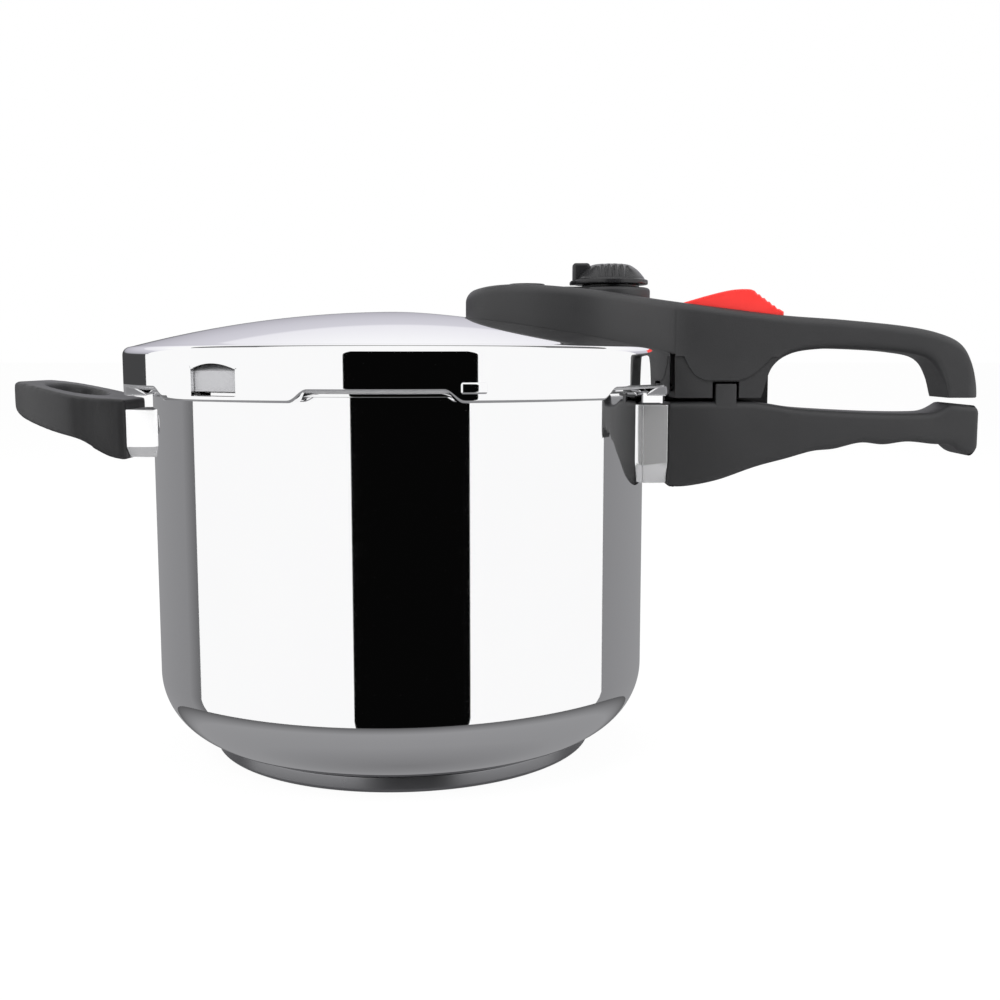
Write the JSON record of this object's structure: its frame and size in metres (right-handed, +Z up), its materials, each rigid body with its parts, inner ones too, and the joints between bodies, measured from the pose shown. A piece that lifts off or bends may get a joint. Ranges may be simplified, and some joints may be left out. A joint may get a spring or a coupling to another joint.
{
  "type": "stovetop pressure cooker",
  "caption": "Steel stovetop pressure cooker with a bayonet lid, a long handle with a red lock slider, a selector knob and a looped helper handle.",
  "frame": {"origin": "centre of the base's underside, on the pot's axis", "axes": "+Z up along the pot's axis, +X along the long handle"},
  "size_m": [0.4389, 0.2462, 0.2192],
  "materials": {
    "polished_steel": "mirror polished stainless steel",
    "fastener_steel": "plain stainless steel",
    "aluminium": "plain",
    "brass": "plain",
    "black_handle": "fine satin phenolic",
    "black_trim": "smooth moulded plastic",
    "red_button": "satin plastic",
    "silicone": "smooth silicone"
  },
  "bodies": {
    "pot": {"pot_body": "polished_steel", "base_core": "aluminium", "base_cap": "polished_steel", "long_handle_bracket": "fastener_steel", "long_handle_guard": "polished_steel", "pot_handle": "black_handle", "pot_handle_screw": "fastener_steel", "helper_bracket": "fastener_steel", "helper_guard": "polished_steel", "helper_handle": "black_handle", "helper_screw": "fastener_steel"},
    "seal_ring": {"lid_gasket": "silicone"},
    "lid": {"lid_shell": "polished_steel", "handle_shell": "black_handle", "handle_bottom_cover": "black_trim", "cover_screws": "fastener_steel", "handle_insert": "brass", "handle_bolt": "fastener_steel", "handle_bolt_washer": "silicone", "valve_body": "fastener_steel", "valve_washer": "silicone", "valve_nut": "fastener_steel", "steam_filter_cap": "black_trim", "valve_spring": "fastener_steel", "indicator_seal": "silicone", "indicator_spring": "fastener_steel", "indicator_cover": "black_trim", "safety_valve_body": "fastener_steel", "safety_valve_nut": "fastener_steel", "safety_valve_spring": "fastener_steel", "safety_valve_cap": "fastener_steel"},
    "selector": {"selector_collar": "black_trim", "selector_knob": "black_trim"},
    "indicator": {"indicator_pin": "fastener_steel"},
    "needle": {"valve_needle": "fastener_steel"},
    "safety_poppet": {"safety_valve_poppet": "fastener_steel"},
    "lock": {"lock_plate": "fastener_steel", "slider_button": "red_button", "slider_screw": "fastener_steel"}
  },
  "joints": [
    {"name": "lid_lift", "type": "slide", "parent": "pot", "child": "seal_ring", "axis": [0, 0, 1], "range_m": [0, 0.2]},
    {"name": "lid_turn", "type": "hinge", "parent": "seal_ring", "child": "lid", "pos_m": [0, 0, 0.17], "axis": [0, 0, 1], "range_deg": [0, 30]},
    {"name": "knob_turn", "type": "hinge", "parent": "lid", "child": "selector", "pos_m": [0.096, 0, 0.21], "axis": [0, 0, 1], "range_deg": [0, 90]},
    {"name": "lock_slide", "type": "slide", "parent": "lid", "child": "lock", "axis": [-1, 0, 0], "range_m": [0, 0.007]},
    {"name": "indicator_rise", "type": "slide", "parent": "lid", "child": "indicator", "axis": [0, 0, 1], "range_m": [0, 0.004], "stiffness_N_per_m": 50, "springref_m": -0.004, "deforming": ["indicator_spring"]},
    {"name": "valve_lift", "type": "slide", "parent": "lid", "child": "needle", "axis": [0, 0, 1], "range_m": [0, 0.002], "stiffness_N_per_m": 400, "springref_m": -0.002, "deforming": ["valve_spring"]},
    {"name": "safety_lift", "type": "slide", "parent": "lid", "child": "safety_poppet", "axis": [0, 0, 1], "range_m": [0, 0.001], "stiffness_N_per_m": 2500, "springref_m": -0.003, "deforming": ["safety_valve_spring"]}
  ]
}
